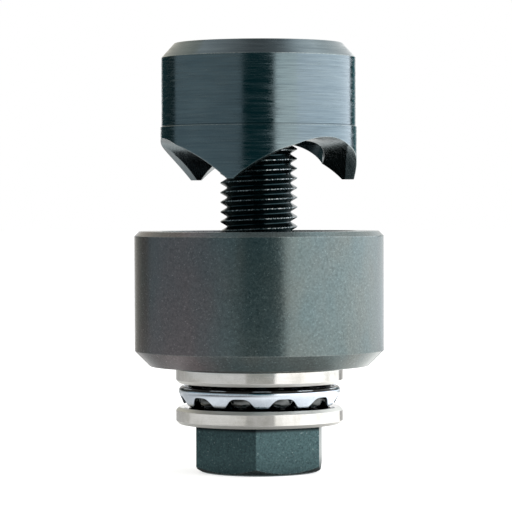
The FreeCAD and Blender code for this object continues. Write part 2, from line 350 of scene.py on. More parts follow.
def punch_grid():
    """Rows over the punch: out along the teeth, up the land and the body, in over the top, down the
    threaded bore and out along the floor of the recess to its wall."""
    half = np.concatenate([np.linspace(0, FLAT_SHARE, 4), np.linspace(FLAT_SHARE, 1, 44)[1:]])
    sector = np.concatenate([-half[:0:-1], half])
    share = np.tile(sector[:-1], TOOTH_COUNT)
    share = np.append(share, sector[0])
    tooth = np.append(np.repeat(np.arange(TOOTH_COUNT), len(sector) - 1), TOOTH_COUNT)
    tooth_middle = VALLEY_AZIMUTH + (tooth + 0.5) * TURN / TOOTH_COUNT

    # Teeth: rows out to the grinding line, then rows over the ground flank
    line = grinding_line(share)
    scalloped = np.linspace(0, 1, 18)[:, None]
    ground = np.linspace(0, 1, 8)[1:, None]
    edge_in = RECESS_RADIUS + CUTTING_EDGE
    edge_out = LAND_RADIUS - CUTTING_EDGE
    radius = np.concatenate([edge_in + scalloped * (line - edge_in), line + ground * (edge_out - line)])
    azimuth = tooth_azimuth(radius, share)
    edge_rows = np.zeros((len(radius), 1))
    edge_rows[[0, -1]] = 1
    tooth_heights = TOOTH_TIPS + tooth_surface(radius, azimuth)
    teeth = around(radius, tooth_middle + azimuth, tooth_heights, edge_rows)

    # Land, from the cutting edge to the step
    outer_azimuth = tooth_middle + tooth_azimuth(LAND_RADIUS, share)
    rim = tooth_surface(LAND_RADIUS, outer_azimuth - tooth_middle) + CUTTING_EDGE
    step = LAND_HEIGHT - LAND_MARGIN
    land_heights = rim + LAND_STATIONS[:, None] * (step - rim)
    land = around(LAND_RADIUS, outer_azimuth, TOOTH_TIPS + land_heights, LAND_STATIONS[:, None] == 0)

    # Body: the step, the top chamfer, the top face
    top = PUNCH_TOP - TOOTH_TIPS
    section = rounded_rows([
        (PUNCH_BORE, step, 0),
        (LAND_RADIUS, step, 0),
        (LAND_RADIUS, LAND_HEIGHT, LAND_EDGE),
        (PUNCH_WAIST - STEP_GROOVE, LAND_HEIGHT, 0),
        (PUNCH_WAIST - STEP_GROOVE, LAND_HEIGHT + 2 * STEP_GROOVE, 0),
        (PUNCH_WAIST, LAND_HEIGHT + 3 * STEP_GROOVE, 0),
        (PUNCH_WAIST, top - PUNCH_CHAMFER_HEIGHT, PUNCH_EDGE),
        (PUNCH_WAIST - PUNCH_CHAMFER, top, PUNCH_EDGE),
        (PUNCH_BORE + COUNTERSINK, top, BORE_EDGE),
        (PUNCH_BORE, top - COUNTERSINK, 0),
    ])[2:-1]
    body = turned(section + [0, TOOTH_TIPS, 0], outer_azimuth)

    # Bore: the thread runs from the countersink down to the recess, and both ends are opened by a cone
    inner_azimuth = tooth_middle + tooth_azimuth(RECESS_RADIUS, share)
    heights, depths = thread_grid(inner_azimuth, TOOTH_TIPS + RECESS_DEPTH, PUNCH_TOP - COUNTERSINK / 2)
    upper_cone = PUNCH_BORE + COUNTERSINK + heights - PUNCH_TOP
    lower_cone = PUNCH_BORE + COUNTERSINK / 2 - heights + TOOTH_TIPS + RECESS_DEPTH
    opened = np.maximum(np.maximum(upper_cone, lower_cone), PUNCH_BORE - depths)
    bore = around(opened, inner_azimuth, heights)[::-1]

    # Recess: its floor, the rounded corner and the wall down to the teeth
    bend = np.linspace(0, math.pi / 2, ARC_STEPS + 1)
    floor = TOOTH_TIPS + RECESS_DEPTH
    recess_rows = np.stack([
        RECESS_RADIUS - RECESS_CORNER * (1 - np.sin(bend)),
        floor - RECESS_CORNER * (1 - np.cos(bend)),
    ], axis=-1)
    recess = turned(recess_rows, inner_azimuth)
    lip = tooth_surface(RECESS_RADIUS, inner_azimuth - tooth_middle) + CUTTING_EDGE + TOOTH_TIPS
    wall_heights = floor - RECESS_CORNER + LAND_STATIONS[1:, None] * (lip - floor + RECESS_CORNER)
    wall = around(RECESS_RADIUS, inner_azimuth, wall_heights, LAND_STATIONS[1:, None] == 1)
    return np.concatenate([teeth, land, body, bore, recess, wall])


# Bolt
def hexagon_outline():
    """x and y round the head: six straight sides joined by arcs, turned to the head's place."""
    half_side = HEAD_APOTHEM * math.tan(math.pi / 6)
    touch = HEAD_CORNER * math.tan(math.pi / 6)
    along = np.array([-1, -0.97, -0.8, -0.6, -0.4, -0.2, 0, 0.2, 0.4, 0.6, 0.8, 0.97, 1])
    along *= half_side - touch
    side = np.stack([np.full_like(along, HEAD_APOTHEM), along], axis=-1)
    bend = np.linspace(0, math.pi / 3, 6)[1:-1]
    arc = np.stack([np.cos(bend), np.sin(bend)], axis=-1) * HEAD_CORNER
    arc += [HEAD_APOTHEM - HEAD_CORNER, half_side - touch]
    stretch = np.concatenate([side, arc])
    turns = HEAD_TURN + (np.arange(6) + 0.5) * math.pi / 3
    spin = np.stack([np.cos(turns), np.sin(turns), -np.sin(turns), np.cos(turns)], axis=-1)
    spin = spin.reshape(6, 2, 2)
    outline = (stretch @ spin).reshape(-1, 2)
    return np.concatenate([outline, outline[:1]])


def head_grid():
    """Rows over the head: out over its face, up the cone that trims the corners, up the six sides,
    in over the top. The cone's height is the distance beyond the face's rim times the chamfer's
    slope."""
    outline = hexagon_outline()
    reach = np.hypot(outline[:, 0], outline[:, 1])
    direction = outline / reach[:, None]
    slope = math.tan(HEAD_CHAMFER)
    cone_end = (reach - HEAD_FACE_RADIUS) * slope
    rim = np.minimum(HEAD_RIM / reach, 1)
    share = [0.0, 0.3, 0.6, 0.8, 0.97, 0.995]
    radii = [s * HEAD_FACE_RADIUS + 0 * reach for s in share]
    heights = [0 * reach for _ in share]
    wear_and_painted_light = [0] * len(share)
    for s in (0.1, 0.5, 1.0):
        edge = HEAD_FACE_RADIUS + s * (reach * (1 - rim) - HEAD_FACE_RADIUS)
        radii.append(edge)
        heights.append((edge - HEAD_FACE_RADIUS) * slope)
        wear_and_painted_light.append(float(s == 1))
    wall_top = HEAD_HEIGHT - HEAD_TOP_CHAMFER
    for s in (0.0, 0.01, 0.25, 0.5, 0.75, 0.99, 1.0):
        radii.append(reach)
        heights.append(cone_end + HEAD_RIM + s * (wall_top - cone_end - HEAD_RIM))
        wear_and_painted_light.append(float(s == 0))
    for s in (1.0, 0.7, 0.0):
        radii.append(s * (reach - 1.5 * HEAD_TOP_CHAMFER))
        heights.append(HEAD_HEIGHT + 0 * reach)
        wear_and_painted_light.append(0)
    azimuth = np.arctan2(direction[:, 1], direction[:, 0])
    return around(np.array(radii), azimuth, np.array(heights), np.array(wear_and_painted_light)[:, None])


def shank_grid():
    """Rows over the shank: the plain part, the thread, whose groove fades in at its start, and the
    chamfered end."""
    azimuths = np.linspace(0, TURN, 145)
    inside = HEAD_HEIGHT - SHANK_ROOT
    plain = turned(np.array([
        (0, inside),
        (BOLT_RADIUS, inside),
        (BOLT_RADIUS, HEAD_HEIGHT),
        (BOLT_RADIUS, THREAD_START),
    ]), azimuths)
    heights, depths = thread_grid(azimuths, THREAD_START, BOLT_END)
    fade = np.clip((heights - THREAD_START) / THREAD_RUN_OUT, 0, 1)
    cone = BOLT_RADIUS - BOLT_END_CHAMFER + BOLT_END - heights
    radius = np.minimum(BOLT_RADIUS - depths * fade, cone)
    thread = around(radius, azimuths, heights, depths < CREST_SHARE * THREAD_DEPTH)
    end_radius = BOLT_RADIUS - BOLT_END_CHAMFER
    cap = turned(np.array([(end_radius * s, BOLT_END) for s in (0.9, 0.5, 0)]), azimuths)
    return np.concatenate([plain, thread, cap])


# Die
def die_rows():
    """Half section of the die: out over the foot, up the side, in over the face, down the cavity
    and the bolt's hole."""
    return rounded_rows([
        (DIE_HOLE, DIE_BASE, DIE_EDGE),
        (DIE_RADIUS - DIE_FOOT_CHAMFER, DIE_BASE, DIE_EDGE),
        (DIE_RADIUS, DIE_BASE + DIE_FOOT_CHAMFER, DIE_FOOT_EDGE),
        (DIE_RADIUS, DIE_TOP - DIE_FACE_CHAMFER, DIE_EDGE),
        (DIE_RADIUS - DIE_FACE_CHAMFER, DIE_TOP, DIE_EDGE),
        (CAVITY_RADIUS, DIE_TOP, CAVITY_LIP),
        (CAVITY_RADIUS, DIE_TOP - CAVITY_DEPTH, CAVITY_CORNER),
        (DIE_HOLE, DIE_TOP - CAVITY_DEPTH, DIE_EDGE),
    ])


# Bearing
def washer_rows(bore, plain_height, raceway_height):
    """Half section of a washer, drawn with the raceway's face up and then put between its two
    heights.

    The raceway is an arc whose centre stands over the face by its radius less its depth. The
    chamfers carry wear, which stands here for their coarser turning and also makes their colour
    paler, a painted highlight.
    """
    thickness = abs(raceway_height - plain_height)
    outside = rounded_rows([
        (bore, 0, WASHER_BORE_EDGE),
        (WASHER_RADIUS - WASHER_CHAMFER, 0, WASHER_EDGE),
        (WASHER_RADIUS, WASHER_CHAMFER, WASHER_EDGE),
        (WASHER_RADIUS, thickness - WASHER_CHAMFER, WASHER_EDGE),
        (WASHER_RADIUS - WASHER_CHAMFER, thickness, WASHER_EDGE),
        (bore, thickness, WASHER_BORE_EDGE),
    ])
    from_chamfer = abs(outside[:, 0] - WASHER_RADIUS + WASHER_CHAMFER / 2)
    outside[:, 2] = from_chamfer < 0.499 * WASHER_CHAMFER
    rise = RACEWAY_RADIUS - RACEWAY_DEPTH
    half_width = math.acos(rise / RACEWAY_RADIUS)
    angle = np.linspace(half_width, -half_width, 25)
    raceway = np.stack([
        BALL_CIRCLE + RACEWAY_RADIUS * np.sin(angle),
        thickness + rise - RACEWAY_RADIUS * np.cos(angle),
        0 * angle,
    ], axis=-1)
    inner_start = len(outside) - (ARC_STEPS + 3)
    rows = np.concatenate([outside[:inner_start], raceway, outside[inner_start:]])
    if raceway_height > plain_height:
        return rows + [0, plain_height, 0]
    return (rows * [1, -1, 1])[::-1] + [0, plain_height, 0]


def cage_skin():
    """Vertices and faces of the cage's outer surface, before the sheet gets its thickness.

    Each ball has a sector. On the top, rows run from the pocket's circle to the sector's outline,
    which is straight lines in radius and azimuth. From the outline's outer side, rows follow the
    bend, an arc that leaves the top and ends upright at the shoulder, then a wider arc down to the
    wall's lean, and then the wall, which ends at the hem. The hem is a round arch over each ball:
    it falls by the arch's height times the squared sine of a quarter turn times the way out, which
    is first raised to the arch's fullness. Painted shade, near black, covers the bend, where the gap
    under the housing washer lies in shade. It is left off in a bare line between the balls, where
    the metal's own reflections show as glints. The fourth number of each point holds it.
    """
    half_sector = math.pi / BALL_COUNT
    lean = math.atan2(CAGE_CORNER - CAGE_FOOT_RADIUS, CAGE_TOP - CAGE_FOOT)
    bend_start = CAGE_CORNER - CAGE_BEND * (math.tan(lean) + 1 / math.cos(lean))
    across = np.linspace(-1, 1, 41) * half_sector
    outward = np.linspace(CAGE_INNER_RIM, bend_start, 13)
    azimuth = np.concatenate([
        across, np.full(12, half_sector), across[-2::-1], np.full(12, -half_sector),
    ])
    radius = np.concatenate([
        np.full(41, bend_start), outward[-2::-1], np.full(40, CAGE_INNER_RIM), outward[1:],
    ])
    outline = np.stack([radius * np.cos(azimuth), radius * np.sin(azimuth)], axis=-1)
    middle = np.array([BALL_CIRCLE, 0])
    towards = (outline - middle) / np.linalg.norm(outline - middle, axis=-1)[:, None]
    pocket = middle + towards * POCKET_RADIUS
    share = np.linspace(0, 1, 7)[:, None, None]
    flat = pocket + share * (outline - pocket)
    level = np.full(flat.shape[:2] + (1,), CAGE_TOP)
    top = np.concatenate([flat, level, 0 * level], axis=-1)

    # The bend, the bow and the wall
    upper = np.linspace(0, math.pi / 2, 2 * ARC_STEPS)[:, None]
    lower = np.linspace(0, lean, ARC_STEPS)[1:, None]
    shoulder_height = CAGE_TOP - CAGE_BEND
    bend_radius = np.concatenate([
        bend_start + CAGE_BEND * np.sin(upper),
        bend_start + CAGE_BEND - CAGE_BOW * (1 - np.cos(lower)),
    ])
    bend_height = np.concatenate([
        shoulder_height + CAGE_BEND * np.cos(upper),
        shoulder_height - CAGE_BOW * np.sin(lower),
    ])
    # Painted shade over the bend above the shoulder's edge, left off in a thin line between the balls
    painted_shade = (bend_height > shoulder_height + PAINTED_SHADE_EDGE) * np.ones_like(across)
    between = np.clip((abs(across) / half_sector - PAINTED_SHADE_GAP_START) / PAINTED_SHADE_GAP_FADE, 0, 1)
    painted_shade[PAINTED_SHADE_GAP_ROWS] *= 1 - between
    bend = around(bend_radius, across, bend_height, painted_shade)
    sideways = abs(CAGE_FOOT_RADIUS * np.sin(across))
    out = np.minimum(sideways / ARCH_HALF_WIDTH, 1) ** ARCH_FULLNESS
    hem = ARCH_TOP - (ARCH_TOP - CAGE_HEM) * np.sin(out * math.pi / 2) ** 2
    wall_share = np.linspace(0, 1, 9)[1:, None]
    wall_height = bend_height[-1] + wall_share * (hem - bend_height[-1])
    wall_radius = bend_radius[-1] - (bend_height[-1] - wall_height) * math.tan(lean)
    wall = around(wall_radius, across, wall_height)
    side = np.concatenate([bend, wall])

    top_quads = grid_quads(*top.shape[:2])[:, ::-1]
    side_quads = grid_quads(*side.shape[:2])[:, ::-1] + top.shape[0] * top.shape[1]
    sector = np.concatenate([top.reshape(-1, 4), side.reshape(-1, 4)])
    sector_quads = np.concatenate([top_quads, side_quads])
    turns = FIRST_BALL + np.arange(BALL_COUNT) * TURN / BALL_COUNT
    x = sector[:, 0] * np.cos(turns)[:, None] - sector[:, 1] * np.sin(turns)[:, None]
    y = sector[:, 0] * np.sin(turns)[:, None] + sector[:, 1] * np.cos(turns)[:, None]
    z = np.broadcast_to(sector[:, 2], x.shape)
    painted_shade_film = np.broadcast_to(sector[:, 3], x.shape)
    points = np.stack([x, y, z, painted_shade_film], axis=-1).reshape(-1, 4)
    quads = (sector_quads + (np.arange(BALL_COUNT) * len(sector))[:, None, None]).reshape(-1, 4)
    return weld(points, quads)


def ball_grid(index):
    """Rows from the bottom pole to the top pole of a ball, at its place on the ball circle."""
    latitude = np.linspace(-math.pi / 2, math.pi / 2, 33)
    rows = np.stack([BALL_RADIUS * np.cos(latitude), BALL_RADIUS * np.sin(latitude)], axis=-1)
    rows[[0, -1], 0] = 0
    azimuth = FIRST_BALL + index * TURN / BALL_COUNT
    centre = [BALL_CIRCLE * math.cos(azimuth), BALL_CIRCLE * math.sin(azimuth), BALL_PLANE]
    return turned(rows, np.linspace(0, TURN, 65)) + [*centre, 0]


# Materials
LATHE_RISE = 1.7


def new_material(name):
    """An empty material with its Principled shader, and its node tree."""
    material = bpy.data.materials.new(name)
    material.use_nodes = True
    tree = material.node_tree
    return material, tree, tree.nodes["Principled BSDF"]


def surface_value(tree, name):
    """A value that the surface carries at each of its points."""
    attribute = tree.nodes.new("ShaderNodeAttribute")
    attribute.attribute_name = name
    return attribute.outputs["Fac"]


def own_coordinates(tree):
    """The piece's own coordinates, in metres."""
    return tree.nodes.new("ShaderNodeTexCoord").outputs["Object"]


def turning_coordinates(tree):
    """Coordinates for a lathe's marks. The height is raised by LATHE_RISE times the distance from the
    axis, so that a noise drawn out along x and y gives lines round the axis on the side, the
    chamfers and the top alike."""
    split = tree.nodes.new("ShaderNodeSeparateXYZ")
    flat = tree.nodes.new("ShaderNodeCombineXYZ")
    distance = tree.nodes.new("ShaderNodeVectorMath")
    distance.operation = "LENGTH"
    raised = tree.nodes.new("ShaderNodeMath")
    raised.operation = "MULTIPLY_ADD"
    raised.inputs[1].default_value = LATHE_RISE
    joined = tree.nodes.new("ShaderNodeCombineXYZ")
    tree.links.new(own_coordinates(tree), split.inputs["Vector"])
    for axis in ("X", "Y"):
        tree.links.new(split.outputs[axis], flat.inputs[axis])
        tree.links.new(split.outputs[axis], joined.inputs[axis])
    tree.links.new(flat.outputs["Vector"], distance.inputs[0])
    tree.links.new(distance.outputs["Value"], raised.inputs[0])
    tree.links.new(split.outputs["Z"], raised.inputs[2])
    tree.links.new(raised.outputs["Value"], joined.inputs["Z"])
    return joined.outputs["Vector"]


def noise(tree, scale, stretch=(1, 1, 1), detail=2.0, roughness=0.5, coordinates=own_coordinates):
    """A noise pattern on the piece's own coordinates or a lathe's, with its scale in cycles per
    metre."""
    mapping = tree.nodes.new("ShaderNodeMapping")
    mapping.inputs["Scale"].default_value = [scale * s for s in stretch]
    pattern = tree.nodes.new("ShaderNodeTexNoise")
    pattern.inputs["Scale"].default_value = 1.0
    pattern.inputs["Detail"].default_value = detail
    pattern.inputs["Roughness"].default_value = roughness
    tree.links.new(coordinates(tree), mapping.inputs["Vector"])
    tree.links.new(mapping.outputs["Vector"], pattern.inputs["Vector"])
    return pattern.outputs["Fac"]


def ramp(tree, factor, stops):
    """A colour ramp: each stop is a position and a colour."""
    node = tree.nodes.new("ShaderNodeValToRGB")
    elements = node.color_ramp.elements
    while len(elements) < len(stops):
        elements.new(0.5)
    for element, (position, colour) in zip(elements, stops):
        element.position = position
        element.color = (*colour, 1)
    tree.links.new(factor, node.inputs["Fac"])
    return node.outputs["Color"]


def spread(tree, factor, low, high):
    """A factor between 0.3 and 0.7 spread over a range of values."""
    node = tree.nodes.new("ShaderNodeMapRange")
    node.inputs["From Min"].default_value = 0.3
    node.inputs["From Max"].default_value = 0.7
    node.inputs["To Min"].default_value = low
    node.inputs["To Max"].default_value = high
    tree.links.new(factor, node.inputs["Value"])
    return node.outputs["Result"]


def way_along(tree, axis, low, high):
    """How far a point has come along an axis, from 0 at one place to 1 at the other."""
    split = tree.nodes.new("ShaderNodeSeparateXYZ")
    tree.links.new(own_coordinates(tree), split.inputs["Vector"])
    share = tree.nodes.new("ShaderNodeMapRange")
    share.inputs["From Min"].default_value = low
    share.inputs["From Max"].default_value = high
    tree.links.new(split.outputs[axis], share.inputs["Value"])
    return share.outputs["Result"]


def bump(tree, shader, layers):
    """Bumps laid one over another: each layer is a factor and its height in metres."""
    last = None
    for factor, height in layers:
        node = tree.nodes.new("ShaderNodeBump")
        node.inputs["Strength"].default_value = 1.0
        node.inputs["Distance"].default_value = height
        tree.links.new(factor, node.inputs["Height"])
        if last:
            tree.links.new(last, node.inputs["Normal"])
        last = node.outputs["Normal"]
    tree.links.new(last, shader.inputs["Normal"])


def mix(tree, factor, first, second, kind="MIX"):
    """Two colours, mixed or blended by a factor. Either may be a fixed colour."""
    node = tree.nodes.new("ShaderNodeMix")
    node.data_type = "RGBA"
    node.blend_type = kind
    for socket, value in ((node.inputs[0], factor), (node.inputs[6], first), (node.inputs[7], second)):
        if isinstance(value, float):
            socket.default_value = value
        elif isinstance(value, tuple):
            socket.default_value = (*value, 1)
        else:
            tree.links.new(value, socket)
    return node.outputs[2]


def worn(tree, colour, bare, patchiness):
    """The colour with bare metal where the surface is worn and a fine noise lets it through."""
    breaks = spread(tree, noise(tree, 5000, detail=2.0), 1 - 2 * patchiness, 1.0)
    through = tree.nodes.new("ShaderNodeMath")
    through.operation = "MULTIPLY"
    through.use_clamp = True
    tree.links.new(surface_value(tree, "wear_and_painted_light"), through.inputs[0])
    tree.links.new(breaks, through.inputs[1])
    return mix(tree, through.outputs["Value"], colour, bare)


def blackened_turned_steel():
    """Punch: black oxide over fine turning marks, which are noise drawn out round the axis, and
    bare cutting edges."""
    material, tree, shader = new_material("blackened_turned_steel")
    marks = noise(tree, 130, (1, 1, 44), 3.0, 0.8, turning_coordinates)
    fine_marks = noise(tree, 300, (1, 1, 16), 2.0, 0.5, turning_coordinates)
    patches = noise(tree, 90, detail=3.0)
    colour = ramp(tree, patches, [(0.3, (0.122, 0.160, 0.178)), (0.7, (0.148, 0.184, 0.198))])
    streaks = ramp(tree, marks, [
        (0.32, (0.78, 0.80, 0.82)), (0.5, (1.0, 1.0, 1.0)), (0.7, (1.22, 1.20, 1.18)),
    ])
    colour = mix(tree, 1.0, colour, streaks, "MULTIPLY")
    tree.links.new(worn(tree, colour, (0.34, 0.38, 0.38), 0.5), shader.inputs["Base Color"])
    shader.inputs["Metallic"].default_value = 1.0
    tree.links.new(spread(tree, fine_marks, 0.10, 0.28), shader.inputs["Roughness"])
    bump(tree, shader, [(marks, 0.006 * MM), (fine_marks, 0.002 * MM)])
    return material


def blackened_satin_steel():
    """Die: black oxide over a fine grain, with brown and teal patches."""
    material, tree, shader = new_material("blackened_satin_steel")
    grain = noise(tree, 2800, detail=3.0, roughness=0.8)
    patches = noise(tree, 110, (1, 1, 0.5), detail=4.0)
    teal = ramp(tree, patches, [(0.35, (0.104, 0.148, 0.156)), (0.65, (0.128, 0.148, 0.142))])
    brown = ramp(tree, patches, [(0.35, (0.112, 0.132, 0.140)), (0.65, (0.150, 0.132, 0.138))])
    colour = mix(tree, way_along(tree, "X", -8 * MM, -3.5 * MM), brown, teal)
    speckle = ramp(tree, grain, [(0.3, (0.66, 0.66, 0.66)), (0.7, (1.34, 1.34, 1.34))])
    colour = mix(tree, 1.0, colour, speckle, "MULTIPLY")
    tree.links.new(worn(tree, colour, (0.26, 0.29, 0.29), 0.6), shader.inputs["Base Color"])
    shader.inputs["Metallic"].default_value = 0.85
    tree.links.new(spread(tree, grain, 0.18, 0.28), shader.inputs["Roughness"])
    bump(tree, shader, [(grain, 0.003 * MM)])
    return material


def blackened_head_steel():
    """Bolt head: rough black oxide with small bright specks, bare spots on its rim, and painted
    shade, near black, along the top of its sides under the washer.
    """
    material, tree, shader = new_material("blackened_head_steel")
    grain = noise(tree, 3000, detail=3.0)
    specks = noise(tree, 4500, detail=0.0)
    colour = ramp(tree, specks, [
        (0.0, (0.042, 0.082, 0.090)), (0.78, (0.056, 0.100, 0.106)), (0.83, (0.20, 0.25, 0.26)),
    ])
    speckle = ramp(tree, grain, [
        (0.35, (0.72, 0.74, 0.75)), (0.5, (1.0, 1.0, 1.0)), (0.65, (1.38, 1.36, 1.32)),
    ])
    colour = mix(tree, 1.0, colour, speckle, "MULTIPLY")
    # Painted shade: the top of the sides turns near black where the shaft washer's overhang shades them
    painted_shade_under_washer = way_along(tree, "Z", HEAD_HEIGHT - 0.85 * MM, HEAD_HEIGHT - 0.45 * MM)
    colour = mix(tree, painted_shade_under_washer, colour, (0.006, 0.012, 0.014))
    tree.links.new(worn(tree, colour, (0.35, 0.38, 0.38), 0.9), shader.inputs["Base Color"])
    shader.inputs["Metallic"].default_value = 0.8
    tree.links.new(spread(tree, grain, 0.26, 0.40), shader.inputs["Roughness"])
    bump(tree, shader, [(grain, 0.016 * MM)])
    return material


def blackened_thread_steel():
    """Bolt shank: oiled black oxide, glossy, a little wavy from the rolling of the thread, and bare
    on the crests."""
    material, tree, shader = new_material("blackened_thread_steel")
    waves = noise(tree, 700, detail=2.0)
    colour = ramp(tree, waves, [(0.35, (0.008, 0.024, 0.028)), (0.65, (0.022, 0.040, 0.044))])
    tree.links.new(worn(tree, colour, (0.42, 0.45, 0.45), 0.8), shader.inputs["Base Color"])
    shader.inputs["Metallic"].default_value = 0.9
    tree.links.new(spread(tree, waves, 0.13, 0.22), shader.inputs["Roughness"])
    bump(tree, shader, [(waves, 0.004 * MM)])
    return material


def ground_steel():
    """Bearing washers: bright ground steel, with lines round the axis and faint stains, and duller
    turned chamfers, whose colour is painted paler as a painted highlight."""
    material, tree, shader = new_material("ground_steel")
    lines = noise(tree, 150, (1, 1, 60), 3.0, 0.7, turning_coordinates)
    stains = noise(tree, 300, detail=4.0, roughness=0.6)
    colour = ramp(tree, stains, [
        (0.3, (0.52, 0.51, 0.48)), (0.5, (0.64, 0.63, 0.61)), (0.7, (0.70, 0.69, 0.68)),
    ])
    chamfers = surface_value(tree, "wear_and_painted_light")
    # Painted highlight: the chamfers' colour is paler; their higher roughness below is the turned
    # finish
    tree.links.new(mix(tree, chamfers, colour, (0.84, 0.83, 0.80)), shader.inputs["Base Color"])
    shader.inputs["Metallic"].default_value = 1.0
    polish = mix(tree, chamfers, spread(tree, lines, 0.06, 0.13), (0.5, 0.5, 0.5))
    tree.links.new(polish, shader.inputs["Roughness"])
    bump(tree, shader, [(lines, 0.001 * MM)])
    return material


def pressed_steel():
    """Cage: pressed sheet with a cold, slightly wavy polish, and painted shade, near black, over its
    shoulder, where it lies in shade under the housing washer."""
    material, tree, shader = new_material("pressed_steel")
    waves = noise(tree, 500, detail=2.0)
    grain = noise(tree, 4000, detail=2.0)
    colour = ramp(tree, waves, [(0.3, (0.62, 0.69, 0.78)), (0.7, (0.72, 0.78, 0.86))])
    # Painted shade: the bend turns near black where the cage's points carry it, standing in for the
    # shade under the housing washer
    colour = mix(tree, surface_value(tree, "wear_and_painted_light"), colour, (0.05, 0.05, 0.05))
    tree.links.new(colour, shader.inputs["Base Color"])
    shader.inputs["Metallic"].default_value = 1.0
    tree.links.new(spread(tree, grain, 0.16, 0.26), shader.inputs["Roughness"])
    bump(tree, shader, [(waves, 0.01 * MM), (grain, 0.0006 * MM)])
    return material


def painted_shade_ball_steel():
    """Balls: polished steel, painted near black to stand in for the shade that they sit in between the
    washers.
    """
    material, tree, shader = new_material("painted_shade_ball_steel")
    painted_shade_film = noise(tree, 900, detail=2.0)
    # Painted shade: the balls' colour is kept near black
    colour = ramp(tree, painted_shade_film, [(0.3, (0.085, 0.092, 0.094)), (0.7, (0.150, 0.158, 0.158))])
    tree.links.new(colour, shader.inputs["Base Color"])
    shader.inputs["Metallic"].default_value = 1.0
    tree.links.new(spread(tree, painted_shade_film, 0.06, 0.14), shader.inputs["Roughness"])
    return material


TURNED_BLACK = blackened_turned_steel()
SATIN_BLACK = blackened_satin_steel()
HEAD_BLACK = blackened_head_steel()
THREAD_BLACK = blackened_thread_steel()
GROUND = ground_steel()
PRESSED = pressed_steel()
PAINTED_SHADE_BALL_STEEL = painted_shade_ball_steel()

# Pieces
EVEN = np.linspace(0, TURN, COLUMNS + 1)
add_piece("toothed_punch", *skin(punch_grid(), True), TURNED_BLACK, "punch", "punch_steel", ["punch"])
add_piece("turned_die", *skin(turned(die_rows(), EVEN), True), SATIN_BLACK, "die", "die_steel", ["die"])
add_piece("bolt_head", *skin(head_grid(), False), HEAD_BLACK, "bolt", "bolt_steel", ["draw_bolt"])
add_piece("bolt_shank", *skin(shank_grid(), False), THREAD_BLACK, "bolt", "bolt_steel", ["draw_bolt"])
for washer, bore, plain, raced, washer_body in (
    ("shaft_washer", SHAFT_WASHER_BORE, SHAFT_WASHER_BASE, SHAFT_WASHER_TOP, "bolt"),
    ("housing_washer", HOUSING_WASHER_BORE, HOUSING_WASHER_TOP, HOUSING_WASHER_BASE, "die"),
):
    grid = turned(washer_rows(bore, plain, raced), EVEN)
    add_piece(f"ground_{washer}", *skin(grid, True), GROUND, washer_body, "bearing_steel", [washer])
cage = add_piece("pressed_cage", *cage_skin(), PRESSED, "ball_set", "cage_steel", ["ball_cage"])
sheet = cage.modifiers.new("sheet", "SOLIDIFY")
sheet.thickness = CAGE_SHEET
sheet.offset = -1.0
sheet.use_even_offset = True
for number in range(BALL_COUNT):
    node = f"ball_{number + 1:02d}"
    ball = skin(ball_grid(number), False)
    add_piece(f"polished_{node}", *ball, PAINTED_SHADE_BALL_STEEL, "ball_set", "ball_steel", [node])


# Studio: a pale floor, a white world, and cards that stand in a ring for the metal to reflect
def stage_mesh(name, points, material):
    """A stage surface from a grid of points."""
    mesh = bpy.data.meshes.new(name)
    mesh.from_pydata(points.reshape(-1, 3), [], grid_quads(*points.shape[:2]).tolist())
    mesh.materials.append(material)
    surface = bpy.data.objects.new(name, mesh)
    bpy.context.scene.collection.objects.link(surface)
    return surface


def glow(name, colour):
    """A card's material: it shines with one colour, at the strength that the surface carries."""
    material = bpy.data.materials.new(name)
    material.use_nodes = True
    tree = material.node_tree
    tree.nodes.clear()
    output = tree.nodes.new("ShaderNodeOutputMaterial")
    emission = tree.nodes.new("ShaderNodeEmission")
    emission.inputs["Color"].default_value = (*colour, 1)
    tree.links.new(surface_value(tree, "strength"), emission.inputs["Strength"])
    tree.links.new(emission.outputs["Emission"], output.inputs["Surface"])
    return material


def card(name, colour, points, strength, lights):
    """A shining card that the camera doesn't see. The metal reflects it, and it lights matt
    surfaces if told to."""
    surface = stage_mesh(name, points, glow(name, colour))
    layer = surface.data.attributes.new("strength", "FLOAT", "POINT")
    layer.data.foreach_set("value", strength.ravel().astype(np.float32))
    surface.visible_camera = False
    surface.visible_shadow = False
    surface.visible_diffuse = lights
    return surface


def ring_card(name, colour, section, azimuths, strengths, lights=True):
    """A card bent round the object. Its section's rows are a distance, a height and a strength, and
    its azimuths count from the camera's side towards +X. The strengths along it are spread evenly
    from the first azimuth to the last."""
    share = np.linspace(0, 1, 33)
    angle = np.radians(azimuths[0] + share * (azimuths[1] - azimuths[0]))
    distance, height, row_strength = np.array(section).T[..., None]
    axes = np.broadcast_arrays(distance * np.sin(angle), -distance * np.cos(angle), height)
    points = np.stack(axes, axis=-1)
    along = np.interp(share, np.linspace(0, 1, len(strengths)), strengths)
    return card(name, colour, points, row_strength * along, lights)


